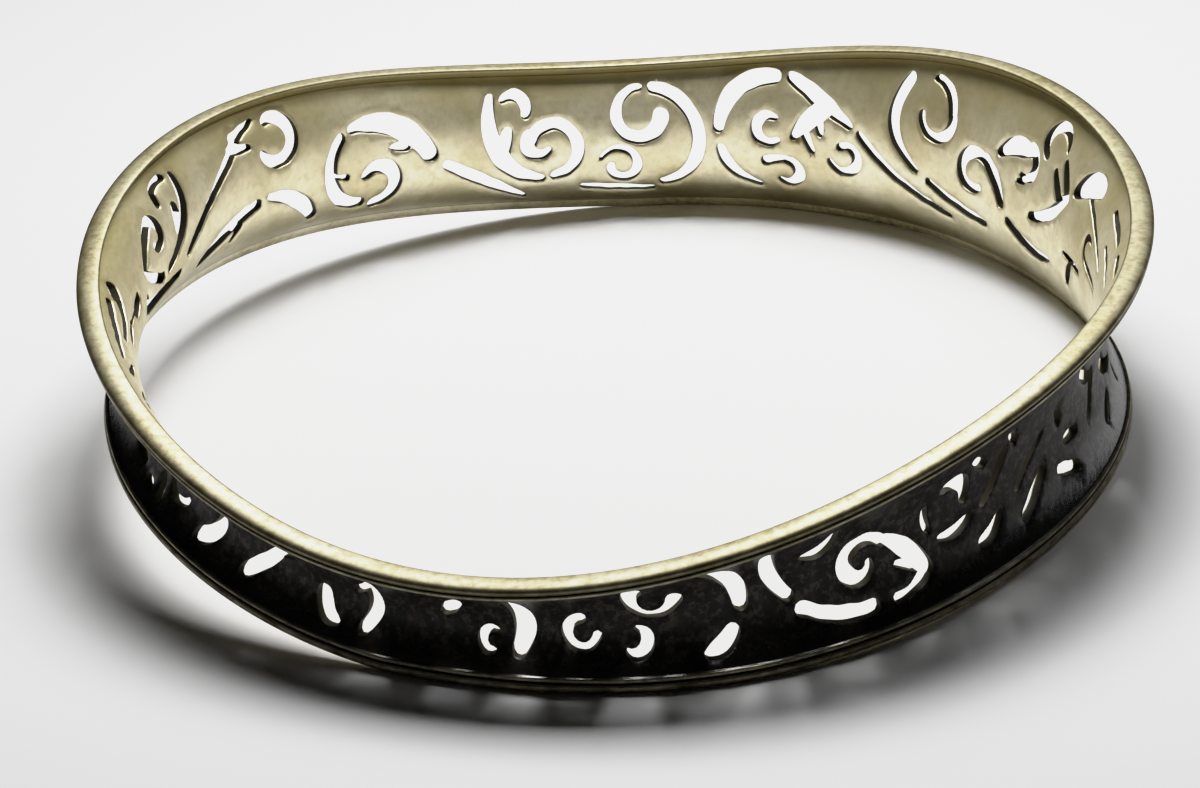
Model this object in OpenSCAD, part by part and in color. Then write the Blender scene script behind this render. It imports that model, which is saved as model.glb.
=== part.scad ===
/* [Wall] */
// Steps round the ring
ring_steps = 72; // [48:6:120]
// Steps up each face of the wall
wall_steps = 5; // [3:1:10]
// Thickness of the pierced wall (mm)
wall = 0.65; // [0.5:0.05:1.4]
// Depth of the waist between the two rims (mm)
waist = 2; // [1:0.1:3]
// Fullness of the waist curve
waist_power = 2.4; // [1.6:0.1:4]
// Inset of the outer wall behind the rim edges (mm)
wall_inset = 0.4; // [0.2:0.05:0.8]
// Height taken by each rim above or below the wall (mm)
rim_height = 0.95; // [0.8:0.05:1.4]

/* [Piercing] */
// Millimetres along the wall in one degree
along = 0.575; // [0.55:0.005:0.6]
// Steps along a straight or bowed slot
slot_steps = 4; // [2:1:8]
// Turn of a scroll in one step (degrees)
turn_step = 38; // [15:1:60]
// Length of the pointed ends against their half width
tip = 0.75; // [0.2:0.05:1]
// Radius where the piercing tool starts (mm)
tool_start = 28; // [26:0.5:30]
// Length of the piercing tool (mm)
tool_length = 11; // [9:0.5:14]

/* [Place] */
// Shift of the ring centre that puts the origin under the middle of the whole part, right (mm)
shift_right = -0.25; // [-2:0.01:2]
// The same shift towards the back (mm)
shift_back = 0.15; // [-2:0.01:2]

/* [Look] */
// Colour of the part
silver = "silver";

/* [Hidden] */

// angle, upper radius, upper height, lower radius, lower height: a row for each section of the ring
SECTIONS = [
    [0, 35.9, 14.9, 34.7, 0.1],
    [30, 36.3, 15.7, 35.1, 0.1],
    [60, 36, 13.8, 35.5, 0],
    [90, 35.6, 12.2, 35.2, 0.1],
    [120, 35.4, 14.5, 35.5, 2.1],
    [150, 35.3, 16.2, 35.7, 3.8],
    [180, 35.4, 14.6, 34.7, 4.5],
    [210, 35.4, 11.2, 35.1, 3.1],
    [240, 35.7, 7.8, 34.9, 0.2],
    [270, 35.9, 8, 35.7, -0.2],
    [300, 35.7, 11.3, 35.1, 0.1],
    [330, 35.7, 13.8, 34.2, 0.1],
];

// inset, drop: the upper rim from its lip over the groove and the rounded crown, which overhangs the
// inner wall a little
RIM = [
    [0.14, 0.9],
    [0.12, 0.68],
    [0.32, 0.6],
    [0.03, 0.5],
    [0, 0.25],
    [0.25, 0.06],
    [0.9, 0],
    [1.5, 0],
    [1.68, 0.2],
    [1.25, 0.62],
];

// inset, drop: the same round the lower rim, which stands flat and has no overhang
FOOT = [
    [0.14, 0.9],
    [0.12, 0.68],
    [0.32, 0.6],
    [0.03, 0.5],
    [0, 0.25],
    [0.2, 0.03],
    [0.35, 0],
    [0.85, 0],
    [1.02, 0.1],
    [1.05, 0.5],
];

// gap, centre angle, centre height, first radius, last radius, first turn, last turn,
// first width, middle width, last width: a row for each curled stroke
SCROLLS = [
    [3, 5, 8.5, 0.95, 1, 125, -80, 0.4, 0.6, 0.6],
    [8, 20.9, 12.4, 1.6, 0.9, 173, -52, 0.3, 0.8, 0.7],
    [9, 25.5, 10.4, 1.1, 1.1, -68, -263, 0.5, 0.8, 0.9],
    [10, 35.5, 7.7, 1.8, 1, 135, -120, 0.8, 1, 0.6],
    [13, 42.8, 10.8, 1.5, 1.45, 170, 360, 0.85, 0.8, 0.55],
    [16, 56.8, 6.1, 0.85, 1.35, 63, 338, 0.6, 0.8, 0.5],
    [17, 65.3, 4.2, 1, 1, -52, -272, 0.5, 0.9, 0.6],
    [18, 67.5, 7.6, 1.05, 1.05, 118, -127, 0.5, 0.9, 0.5],
    [22, 83.7, 6.5, 3.75, 3.75, 93, 258, 0.8, 1.1, 0.7],
    [23, 85.1, 8.45, 1.85, 1.65, 91, -175, 0.5, 1, 1.3],
    [24, 87.9, 4.45, 1.7, 0.75, 25, 368, 0.3, 0.8, 0.6],
    [25, 97.2, 6.4, 2.3, 1.75, 264, 23, 0.9, 1, 1],
    [25, 98.8, 7, 0.95, 1, 43, -137, 1, 1, 0.6],
    [26, 96.8, 8.8, 5, 4.9, -77, 23, 0.7, 1.4, 0.7],
    [28, 101.6, 9.5, 1.3, 0.85, 48, 197, 0.5, 0.9, 0.8],
    [30, 121.9, 6.4, 1.85, 1.25, 270, 44, 1, 1.2, 0.8],
    [31, 123, 8.3, 3.45, 3.2, -80, 50, 0.9, 1.15, 0.9],
    [33, 136.5, 12.6, 1.4, 1.7, 71, 336, 0.6, 1.2, 0.7],
    [39, 165.2, 11.9, 0.8, 1, -45, -275, 0.6, 1, 0.7],
    [48, 212.3, 6.2, 1.1, 1.1, 180, 320, 0.4, 0.6, 0.4],
    [49, 216.8, 6.2, 2.1, 2.2, -85, -15, 0.9, 1.1, 0.8],
    [54, 255.1, 2.35, 0.6, 0.6, 54, 289, 0.4, 0.6, 0.35],
    [56, 264.5, 3.05, 0.85, 0.95, 98, 348, 0.8, 0.55, 0.5],
    [57, 269.9, 2.5, 0.65, 0.7, 83, -132, 0.35, 0.75, 0.35],
    [58, 271.7, 5.3, 1.3, 1.35, 155, 345, 1.2, 0.5, 1],
    [59, 275.2, 4.4, 2.65, 3.2, 72, -7, 0.5, 1.1, 0.9],
    [60, 275.2, 4.4, 3.2, 3, -37, -71, 0.9, 1, 0.5],
    [64, 294.3, 4.6, 0.45, 1.85, -4, -328, 0.5, 1.1, 0.7],
    [67, 306.1, 6.6, 1.1, 1.25, 132, -23, 0.6, 1.1, 0.8],
    [77, 333.9, 5.9, 2.2, 2.3, 45, -50, 1, 1, 0.6],
];

// gap, first angle, first height, last angle, last height, bow, first width, middle width,
// last width: a row for each straight or bowed stroke
SLOTS = [
    [0, -2, 10.6, -9, 9.7, 0, 0.45, 0.6, 0.5],
    [1, 0.6, 12.4, -6, 11.9, 0, 0.45, 0.55, 0.45],
    [2, -8.6, 11.7, -12.4, 11.4, 0, 0.45, 0.6, 0.45],
    [3, 5.2, 7.5, -0.5, 7.1, 0, 0.6, 0.6, 0.4],
    [4, 12.9, 10.9, 6.8, 12.4, -0.4, 0.9, 1.8, 1.1],
    [4, 8.6, 11.5, -1.6, 8.9, 0, 0.5, 0.55, 0.5],
    [5, 14.2, 6.2, 8.4, 6.1, 0, 0.35, 0.6, 0.4],
    [5, 11.8, 5.8, 14, 4, 0, 0.6, 0.9, 0.7],
    [6, 15, 10.1, 23.5, 6.8, -0.5, 0.9, 0.9, 0.7],
    [6, 19, 11, 17, 9.6, 0, 0.7, 0.9, 0.9],
    [6, 17.4, 12, 15.4, 10.5, 0, 0.6, 0.8, 0.9],
    [7, 19.2, 4.4, 28.8, 5.3, -0.7, 0.4, 1, 0.7],
    [9, 25.6, 9, 26.9, 8.8, 0, 0.5, 0.5, 0.4],
    [9, 25.4, 11.2, 31, 10.2, 0.35, 0.95, 1.45, 0.75],
    [10, 30.2, 6.4, 33.5, 9.2, 0.3, 0.8, 1.2, 0.9],
    [11, 33.9, 4.1, 43.7, 5.8, -0.3, 0.6, 0.8, 0.6],
    [12, 40.5, 3.4, 54.5, 8.1, -0.75, 0.4, 0.7, 0.7],
    [13, 44.4, 13.3, 40.4, 11.2, -0.6, 0.5, 0.8, 0.85],
    [14, 45.8, 6.4, 48.2, 12.8, -1.4, 0.6, 1, 0.9],
    [15, 56.1, 8.6, 65, 11.4, 0.15, 0.6, 1.3, 0.8],
    [15, 59.9, 9.6, 64.1, 7.2, 0.1, 1.4, 1.4, 0.7],
    [15, 60.6, 8.6, 60.3, 7.6, 0, 0.8, 0.7, 0.5],
    [15, 62.7, 7.8, 61.5, 6.2, 0, 0.8, 0.7, 0.5],
    [17, 65.3, 5.3, 68.1, 5, 0.1, 0.6, 0.7, 0.8],
    [19, 67.2, 11.3, 74.5, 7.5, 1.2, 1, 1.3, 0.9],
    [20, 69.2, 2.85, 74.2, 5.85, -0.6, 0.4, 0.9, 0.8],
    [21, 83.8, 2.2, 93.2, 2.8, -0.1, 0.4, 0.7, 0.5],
    [26, 102.9, 8.2, 103.6, 6.4, 0.1, 0.8, 1.1, 0.7],
    [27, 101, 2.3, 111.7, 6.5, 0, 0.4, 1, 0.8],
    [29, 113.9, 7.7, 124.7, 11.2, 1.15, 1.3, 1.7, 0.75],
    [29, 117.2, 8.8, 119.5, 9, 0, 0.9, 0.8, 0.3],
    [31, 126.2, 7.6, 128.4, 8, 0, 0.5, 0.4, 0.4],
    [32, 131.1, 5.2, 138.9, 8.5, 0.6, 0.9, 1.2, 0.6],
    [34, 139, 14.4, 143.2, 13.8, 0, 0.3, 0.6, 0.9],
    [34, 141.2, 12.9, 144.4, 13.2, 0, 0.5, 0.7, 0.9],
    [34, 142.8, 13.8, 144.6, 13, 0, 0.9, 0.9, 0.9],
    [34, 144, 13.2, 156.6, 8.4, 0.15, 0.9, 0.75, 0.7],
    [35, 141.2, 8.4, 151.9, 6.3, 0.3, 0.9, 1.3, 0.9],
    [35, 144.5, 7.4, 145.6, 6.4, 0, 0.8, 0.6, 0.4],
    [36, 155.9, 14, 162.8, 8.8, -1.15, 0.7, 1.1, 0.7],
    [36, 158.4, 12.4, 159, 10.8, 0, 0.8, 1.1, 0.8],
    [37, 157.6, 14.3, 160.9, 14, 0.15, 0.5, 0.5, 0.5],
    [37, 160.8, 14.1, 161.3, 13.2, 0.1, 0.5, 0.6, 0.6],
    [38, 158.6, 7.2, 173, 8.4, -0.35, 0.9, 1.15, 1.1],
    [38, 172.6, 8.9, 173.4, 7.2, 0, 1, 0.8, 0.3],
    [39, 165.5, 12.9, 171.3, 10.8, 0.2, 0.7, 0.8, 0.7],
    [39, 170.9, 10.4, 165, 8.7, 0.15, 0.7, 0.75, 0.8],
    [40, 176.7, 10.2, 179.9, 9.9, 0, 0.9, 1.2, 0.9],
    [40, 179.6, 10.1, 184.6, 10.3, 0, 0.35, 0.35, 0.35],
    [40, 184.2, 10.2, 188.2, 9.9, 0, 0.5, 0.75, 0.4],
    [41, 181.4, 12.5, 183.2, 11.9, 0, 0.7, 0.9, 0.8],
    [41, 182.8, 11.9, 190, 10.8, -0.35, 0.7, 0.55, 0.4],
    [42, 184.6, 12.35, 195, 10.9, -0.1, 0.4, 0.4, 0.25],
    [43, 194.6, 10.1, 197.6, 10.3, 0, 0.3, 0.5, 0.4],
    [44, 197.8, 8.5, 203.7, 9.2, 0.4, 0.5, 1, 0.6],
    [45, 200.4, 6.4, 203.4, 5.75, 0, 0.4, 0.6, 0.4],
    [46, 205.2, 5.3, 206.7, 5, 0, 0.45, 0.55, 0.4],
    [47, 208.2, 6.1, 209, 4.6, 0, 0.4, 0.6, 0.4],
    [50, 224.9, 3.3, 229.3, 5, -0.1, 0.9, 1, 0.8],
    [50, 228.8, 5.1, 231.8, 5.1, 0, 0.6, 0.4, 0.25],
    [51, 235.4, 3.3, 237.5, 1.95, -0.3, 1.1, 1, 0.5],
    [52, 239.8, 4.1, 241.3, 4.6, 0, 0.6, 0.6, 0.6],
    [52, 240.8, 1.9, 241.4, 4.6, -0.5, 0.8, 1, 0.8],
    [53, 250, 3.8, 251.6, 4.6, 0, 0.6, 1, 0.7],
    [55, 256.6, 5.3, 258.1, 2, 0.7, 0.3, 1.3, 1],
    [61, 283.3, 7.1, 285.8, 3.9, -0.35, 0.9, 1, 0.8],
    [62, 287.1, 2.95, 294.8, 2.05, -0.3, 0.9, 0.9, 0.8],
    [63, 287.2, 6.3, 290.8, 7.7, -0.5, 0.4, 1, 0.5],
    [64, 297.1, 5.8, 302.1, 2.9, 0.25, 0.7, 1.2, 1.1],
    [64, 300.8, 3.4, 298.6, 3.8, 0, 1, 0.7, 0.5],
    [64, 302.1, 2.9, 297.7, 2, 0.25, 1, 0.6, 0.6],
    [65, 302.4, 6.7, 303.1, 5, -0.15, 0.5, 0.6, 0.5],
    [66, 304.6, 4.2, 309.8, 4.8, -0.3, 0.5, 0.9, 0.4],
    [68, 309.1, 8.7, 311, 7.9, 0, 0.6, 0.7, 0.6],
    [69, 310.3, 2.65, 314.6, 3.9, -0.25, 0.6, 0.85, 0.4],
    [70, 311.3, 4.9, 314.4, 7.9, -0.3, 0.5, 0.9, 0.9],
    [71, 314.8, 9.3, 316.6, 8, 0, 0.6, 0.7, 0.6],
    [72, 317.6, 4.4, 322.6, 7, 0.1, 0.5, 0.7, 0.5],
    [73, 317.7, 2.4, 323.4, 4.4, -0.1, 0.5, 0.95, 0.8],
    [74, 325.6, 8, 327, 6.6, 0, 0.5, 0.9, 0.7],
    [75, 326.8, 3.25, 330.8, 2.55, 0, 0.8, 0.85, 0.7],
    [76, 329, 4.8, 332.3, 4.6, 0, 0.7, 0.9, 0.6],
    [77, 331.6, 9.2, 335.6, 7.4, -0.2, 0.5, 0.8, 0.9],
    [78, 342, 2.5, 346, 3.5, 0, 0.6, 0.7, 0.5],
    [79, 343.1, 6.7, 352.1, 4.2, -0.6, 0.9, 1.1, 0.5],
    [80, 352.9, 2.3, 352.8, 3.3, 0, 0.4, 0.5, 0.4],
];

sections = len(SECTIONS);
gaps = max([for (row = concat(SCROLLS, SLOTS)) row[0]]) + 1;

// Weight of a section at a given distance round the ring
function kernel(x) = abs(sin(x / 2)) < 1e-9 ? 1 : sin(sections * x / 2) / (sections * tan(x / 2));

// A column of the sections carried smoothly to any angle
function carried(column, angle) =
    [for (row = SECTIONS) row[column] * kernel(angle - row[0])] * [for (row = SECTIONS) 1];

// Depth of the waist at a share of the wall height
function hollow(share) = waist * (1 - pow(abs(2 * share - 1), waist_power));

// One face of the wall from the lower rim to the upper one, set back from the rim edges
function face_line(low, high, back) = [
    for (i = [0:wall_steps])
        let (share = i / wall_steps)
            low + (high - low) * share - [back + hollow(share), 0]
];

// The whole outline of the band at an angle, as radius and height
function band_outline(angle) =
    let (
        top = [carried(1, angle), carried(2, angle)],
        foot = [carried(3, angle), max(0, carried(4, angle))],
        low = foot + [0, rim_height],
        high = top - [0, rim_height],
        inner = face_line(low, high, wall_inset + wall),
        last = len(FOOT) - 1
    )
        concat(
            [for (i = [last:-1:0]) foot + [-FOOT[i][0], FOOT[i][1]]],
            face_line(low, high, wall_inset),
            [for (row = RIM) top - row],
            [for (i = [wall_steps:-1:0]) inner[i]]
        );

// Width of a stroke at a share of its length
function stroke_width(first, middle, last, share) =
    first * (1 - share) * (1 - 2 * share) + 4 * middle * share * (1 - share)
    + last * share * (2 * share - 1);

// The outline of a stroke from its middle line and half widths, with a short point at each end
function stroke_outline(line, half) =
    let (
        last = len(line) - 1,
        ahead = [for (i = [0:last]) line[min(i + 1, last)] - line[max(i - 1, 0)]],
        unit = [for (d = ahead) d / norm(d)],
        side = [for (d = unit) [-d[1], d[0]]]
    )
        concat(
            [for (i = [0:last]) line[i] + side[i] * half[i]],
            [line[last] + unit[last] * half[last] * tip],
            [for (i = [last:-1:0]) line[i] - side[i] * half[i]],
            [line[0] - unit[0] * half[0] * tip]
        );

// Curled stroke: its radius and turn both change evenly along it
function scroll_outline(row, home) =
    let (
        steps = max(4, ceil(abs(row[6] - row[5]) / turn_step)),
        centre = [(row[1] - home) * along, row[2]],
        line = [
            for (i = [0:steps])
                let (share = i / steps, turn = row[5] + (row[6] - row[5]) * share)
                    centre + (row[3] + (row[4] - row[3]) * share) * [cos(turn), sin(turn)]
        ],
        half = [for (i = [0:steps]) stroke_width(row[7], row[8], row[9], i / steps) / 2]
    )
        stroke_outline(line, half);

// Bowed stroke: a straight run pushed sideways most at its middle
function slot_outline(row, home) =
    let (
        start = [(row[1] - home) * along, row[2]],
        run = [(row[3] - row[1]) * along, row[4] - row[2]],
        side = [-run[1], run[0]] / norm(run),
        line = [
            for (i = [0:slot_steps])
                let (share = i / slot_steps)
                    start + run * share + side * 4 * row[5] * share * (1 - share)
        ],
        half = [for (i = [0:slot_steps]) stroke_width(row[6], row[7], row[8], i / slot_steps) / 2]
    )
        stroke_outline(line, half);

// The plain band with both rims, before it is pierced
module band() {
    outlines = [
        for (i = [0:ring_steps - 1])
            let (angle = 360 * i / ring_steps)
                [for (p = band_outline(angle)) [p[0] * cos(angle), p[0] * sin(angle), p[1]]]
    ];
    around = len(outlines[0]);
    faces = [
        for (i = [0:ring_steps - 1], j = [0:around - 1])
            let (
                next = (i + 1) % ring_steps,
                above = (j + 1) % around,
                a = i * around + j,
                b = i * around + above,
                c = next * around + above,
                d = next * around + j
            )
                each [[a, b, c], [a, c, d]]
    ];
    polyhedron(points = [for (outline = outlines) each outline], faces = faces, convexity = 10);
}

// The tool that cuts one gap straight out through the wall
module gap_tool(gap) {
    curls = [for (row = SCROLLS) if (row[0] == gap) row];
    slots = [for (row = SLOTS) if (row[0] == gap) row];
    home = len(curls) > 0 ? curls[0][1] : (slots[0][1] + slots[0][3]) / 2;
    rotate([0, 0, home])
        translate([tool_start, 0, 0])
            rotate([90, 0, 90])
                linear_extrude(height = tool_length)
                    union() {
                        for (row = curls) polygon(scroll_outline(row, home));
                        for (row = slots) polygon(slot_outline(row, home));
                    }
}

// The bangle in one piece: band, rims and pierced scrollwork
module bangle() {
    color(silver)
        translate([shift_right, shift_back, 0])
            difference() {
                band();
                for (gap = [0:gaps - 1]) gap_tool(gap);
            }
}

bangle();
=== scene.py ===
import math
from itertools import chain
import bpy
import numpy as np
from mathutils import Matrix, Vector
from mathutils.geometry import delaunay_2d_cdt


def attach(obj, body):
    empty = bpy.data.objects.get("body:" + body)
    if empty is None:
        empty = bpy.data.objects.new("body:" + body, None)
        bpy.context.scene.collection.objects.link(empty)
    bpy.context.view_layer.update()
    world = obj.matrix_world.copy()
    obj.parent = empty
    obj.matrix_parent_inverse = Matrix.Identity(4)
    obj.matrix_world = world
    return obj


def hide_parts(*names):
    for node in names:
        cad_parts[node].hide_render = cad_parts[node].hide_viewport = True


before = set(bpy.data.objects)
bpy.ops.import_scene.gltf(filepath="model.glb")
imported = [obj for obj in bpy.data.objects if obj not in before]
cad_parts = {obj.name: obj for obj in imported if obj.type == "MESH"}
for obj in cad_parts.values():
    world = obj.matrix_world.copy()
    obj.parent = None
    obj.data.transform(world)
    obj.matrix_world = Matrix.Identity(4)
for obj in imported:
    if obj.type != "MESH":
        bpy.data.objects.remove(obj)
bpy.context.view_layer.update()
print("frame loaded:", sorted(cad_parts))

bangle = {
    "centre": (-0.25, 0.15),  # ring centre from the origin, all lengths in mm
    "wall": 0.65,  # thickness of the pierced wall
    "inset": 0.4,  # outer wall face behind the rim edge
    "waist": 2.0,  # depth of the hollow channel
    "waistPower": 2.4,  # higher gives the channel steeper sides and a flatter floor
    "rimHeight": 0.95,
    "along": 0.575,  # mm along the wall in one degree
    "middleHeight": 8,  # height where the flat layout is at its true size
    "stations": 400,  # steps round the ring
    "strokeSteps": 121,  # points along the middle line of a stroke
    "endTurn": 80,  # degrees to both sides that a stroke's round end covers
    "endSteps": 9,
    "spacing": 0.27,  # mm between points on a gap's outline
    "fewest": 10,  # least points on an outline
    "farAway": 9.0,  # distance given to points that no stroke is near
    "reach": 0.9,  # how near a stroke is measured
    "lattice": 0.62,  # mm between points on the plain metal
    "latticeRise": 0.87,  # height of a row as a share of that, for even triangles
    "latticeSpan": (0.5, 17),  # heights that the rows cover
    "latticeRoom": 0.8,  # distance of the rows from both rims
    "latticeClear": 0.2,  # and from the soft edges
    "rimRows": ((0.05, 1), (0.22, 1), (0.55, 2)),  # distance of a row from a rim, use of every nth step
    "rimClear": 0.08,  # distance of those rows from the soft edges
    "edgeRadius": 0.07,  # soft edge of every gap
    "edgeRows": ((0.3, 0.1), (1, 0.08)),  # distance from a gap in edge radii, room kept from a rim in mm
    "edgeClear": 0.8,  # share of that distance that a point must keep from all gaps
    "cutRows": (0.08, 0.5, 0.92),  # shares of the wall where a cut face has a row of points
    "border": 0.15,  # least metal kept between a gap and a rim
    "weld": 1e-5,  # points nearer than this become one
    "tiny": 1e-9,  # taken as nought
    "wobble": 0.035,  # hand-cut unevenness of the outlines
    "swell": 0.008,  # hand-finished unevenness of the rims
    "ripple": 0.012,  # cast unevenness of the wall faces
    "innerRipple": 0.6,  # share of the ripple that the inner face has
    "calm": 0.8,  # distance from a rim over which wobble and ripple fade in
    "rimMiddle": 0.9,  # inset where the swell turns from the outer to the inner side
    # noises: a sum of sines, brought to about -1 to 1, then seed, waves round the ring and waves up the wall
    "noiseSines": 6,
    "noiseSpread": 3.5,
    "noiseBegin": 6.28,  # radians, the latest that a sine begins
    "wobbleAcross": (3, 90, 2.5),
    "wobbleUp": (4, 90, 2.5),
    "rippleSlow": (5, 24, 0.7),
    "rippleQuick": (6, 70, 1.8),
    "quickShare": 0.5,
    "swellNoise": (14, 0.25),  # without the seed, as each rim has its own
    "rimSeed": 11,
    "footRimSeed": 31,
    # angle, upper radius, upper height, lower radius, lower height
    "sections": [
        (0, 35.9, 14.9, 34.7, 0.1), (30, 36.3, 15.7, 35.1, 0.1), (60, 36, 13.8, 35.5, 0),
        (90, 35.6, 12.2, 35.2, 0.1), (120, 35.4, 14.5, 35.5, 2.1), (150, 35.3, 16.2, 35.7, 3.8),
        (180, 35.4, 14.6, 34.7, 4.5), (210, 35.4, 11.2, 35.1, 3.1), (240, 35.7, 7.8, 34.9, 0.2),
        (270, 35.9, 8, 35.7, -0.2), (300, 35.7, 11.3, 35.1, 0.1), (330, 35.7, 13.8, 34.2, 0.1),
    ],
    # inset, drop: rim from the outer wall over lip, groove, crown and undercut to the inner wall
    "rim": [
        (0.4, 0.95), (0.27, 0.955), (0.17, 0.925), (0.13, 0.86), (0.125, 0.79), (0.15, 0.73),
        (0.21, 0.69), (0.31, 0.665), (0.33, 0.625), (0.22, 0.59), (0.1, 0.55), (0.035, 0.48),
        (0.015, 0.4), (0.025, 0.31), (0.06, 0.23), (0.13, 0.16), (0.25, 0.105), (0.42, 0.06),
        (0.65, 0.027), (0.9, 0.015), (1.12, 0.02), (1.34, 0.035), (1.49, 0.065), (1.57, 0.11),
        (1.6, 0.17), (1.57, 0.23), (1.48, 0.27), (1.3, 0.3), (1.1, 0.33), (0.92, 0.37),
        (0.8, 0.44), (0.77, 0.54), (0.81, 0.66), (0.9, 0.8), (1.05, 0.95),
    ],
    # the same round the foot, where the inner wall flares straight out to the floor
    "footRim": [
        (0.4, 0.95), (0.27, 0.955), (0.17, 0.925), (0.13, 0.86), (0.125, 0.79), (0.15, 0.73),
        (0.21, 0.69), (0.31, 0.665), (0.33, 0.625), (0.22, 0.59), (0.1, 0.55), (0.035, 0.48),
        (0.015, 0.4), (0.02, 0.28), (0.05, 0.17), (0.12, 0.08), (0.22, 0.03), (0.32, 0.01),
        (0.42, 0.01), (0.47, 0.03), (0.5, 0.09), (0.55, 0.2), (0.62, 0.35), (0.71, 0.5),
        (0.81, 0.65), (0.93, 0.8), (1.05, 0.95),
    ],
    # gap, centre angle, centre height, radii, turns, then first, middle and last width
    "curls": [
        (3, 5, 8.5, 0.95, 1, 125, -80, 0.4, 0.6, 0.6),
        (8, 20.9, 12.4, 1.6, 0.9, 173, -52, 0.3, 0.8, 0.7),
        (9, 25.5, 10.4, 1.1, 1.1, -68, -263, 0.5, 0.8, 0.9),
        (10, 35.5, 7.7, 1.8, 1, 135, -120, 0.8, 1, 0.6),
        (13, 42.8, 10.8, 1.5, 1.45, 170, 360, 0.85, 0.8, 0.55),
        (16, 56.8, 6.1, 0.85, 1.35, 63, 338, 0.6, 0.8, 0.5),
        (17, 65.3, 4.2, 1, 1, -52, -272, 0.5, 0.9, 0.6),
        (18, 67.5, 7.6, 1.05, 1.05, 118, -127, 0.5, 0.9, 0.5),
        (22, 83.7, 6.5, 3.75, 3.75, 93, 258, 0.8, 1.1, 0.7),
        (23, 85.1, 8.45, 1.85, 1.65, 91, -175, 0.5, 1, 1.3),
        (24, 87.9, 4.45, 1.7, 0.75, 25, 368, 0.3, 0.8, 0.6),
        (25, 97.2, 6.4, 2.3, 1.75, 264, 23, 0.9, 1, 1),
        (25, 98.8, 7, 0.95, 1, 43, -137, 1, 1, 0.6),
        (26, 96.8, 8.8, 5, 4.9, -77, 23, 0.7, 1.4, 0.7),
        (28, 101.6, 9.5, 1.3, 0.85, 48, 197, 0.5, 0.9, 0.8),
        (30, 121.9, 6.4, 1.85, 1.25, 270, 44, 1, 1.2, 0.8),
        (31, 123, 8.3, 3.45, 3.2, -80, 50, 0.9, 1.15, 0.9),
        (33, 136.5, 12.6, 1.4, 1.7, 71, 336, 0.6, 1.2, 0.7),
        (39, 165.2, 11.9, 0.8, 1, -45, -275, 0.6, 1, 0.7),
        (48, 212.3, 6.2, 1.1, 1.1, 180, 320, 0.4, 0.6, 0.4),
        (49, 216.8, 6.2, 2.1, 2.2, -85, -15, 0.9, 1.1, 0.8),
        (54, 255.1, 2.35, 0.6, 0.6, 54, 289, 0.4, 0.6, 0.35),
        (56, 264.5, 3.05, 0.85, 0.95, 98, 348, 0.8, 0.55, 0.5),
        (57, 269.9, 2.5, 0.65, 0.7, 83, -132, 0.35, 0.75, 0.35),
        (58, 271.7, 5.3, 1.3, 1.35, 155, 345, 1.2, 0.5, 1),
        (59, 275.2, 4.4, 2.65, 3.2, 72, -7, 0.5, 1.1, 0.9),
        (60, 275.2, 4.4, 3.2, 3, -37, -71, 0.9, 1, 0.5),
        (64, 294.3, 4.6, 0.45, 1.85, -4, -328, 0.5, 1.1, 0.7),
        (67, 306.1, 6.6, 1.1, 1.25, 132, -23, 0.6, 1.1, 0.8),
        (77, 333.9, 5.9, 2.2, 2.3, 45, -50, 1, 1, 0.6),
    ],
    # gap, first angle, height, last angle, height, bow, then first, middle and last width
    "slots": [
        (0, -2, 10.6, -9, 9.7, 0, 0.45, 0.6, 0.5), (1, 0.6, 12.4, -6, 11.9, 0, 0.45, 0.55, 0.45),
        (2, -8.6, 11.7, -12.4, 11.4, 0, 0.45, 0.6, 0.45),
        (3, 5.2, 7.5, -0.5, 7.1, 0, 0.6, 0.6, 0.4),
        (4, 12.9, 10.9, 6.8, 12.4, -0.4, 0.9, 1.8, 1.1),
        (4, 8.6, 11.5, -1.6, 8.9, 0, 0.5, 0.55, 0.5), (5, 14.2, 6.2, 8.4, 6.1, 0, 0.35, 0.6, 0.4),
        (5, 11.8, 5.8, 14, 4, 0, 0.6, 0.9, 0.7), (6, 15, 10.1, 23.5, 6.8, -0.5, 0.9, 0.9, 0.7),
        (6, 19, 11, 17, 9.6, 0, 0.7, 0.9, 0.9), (6, 17.4, 12, 15.4, 10.5, 0, 0.6, 0.8, 0.9),
        (7, 19.2, 4.4, 28.8, 5.3, -0.7, 0.4, 1, 0.7), (9, 25.6, 9, 26.9, 8.8, 0, 0.5, 0.5, 0.4),
        (9, 25.4, 11.2, 31, 10.2, 0.35, 0.95, 1.45, 0.75),
        (10, 30.2, 6.4, 33.5, 9.2, 0.3, 0.8, 1.2, 0.9),
        (11, 33.9, 4.1, 43.7, 5.8, -0.3, 0.6, 0.8, 0.6),
        (12, 40.5, 3.4, 54.5, 8.1, -0.75, 0.4, 0.7, 0.7),
        (13, 44.4, 13.3, 40.4, 11.2, -0.6, 0.5, 0.8, 0.85),
        (14, 45.8, 6.4, 48.2, 12.8, -1.4, 0.6, 1, 0.9),
        (15, 56.1, 8.6, 65, 11.4, 0.15, 0.6, 1.3, 0.8),
        (15, 59.9, 9.6, 64.1, 7.2, 0.1, 1.4, 1.4, 0.7),
        (15, 60.6, 8.6, 60.3, 7.6, 0, 0.8, 0.7, 0.5), (15, 62.7, 7.8, 61.5, 6.2, 0, 0.8, 0.7, 0.5),
        (17, 65.3, 5.3, 68.1, 5, 0.1, 0.6, 0.7, 0.8),
        (19, 67.2, 11.3, 74.5, 7.5, 1.2, 1, 1.3, 0.9),
        (20, 69.2, 2.85, 74.2, 5.85, -0.6, 0.4, 0.9, 0.8),
        (21, 83.8, 2.2, 93.2, 2.8, -0.1, 0.4, 0.7, 0.5),
        (26, 102.9, 8.2, 103.6, 6.4, 0.1, 0.8, 1.1, 0.7),
        (27, 101, 2.3, 111.7, 6.5, 0, 0.4, 1, 0.8),
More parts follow.
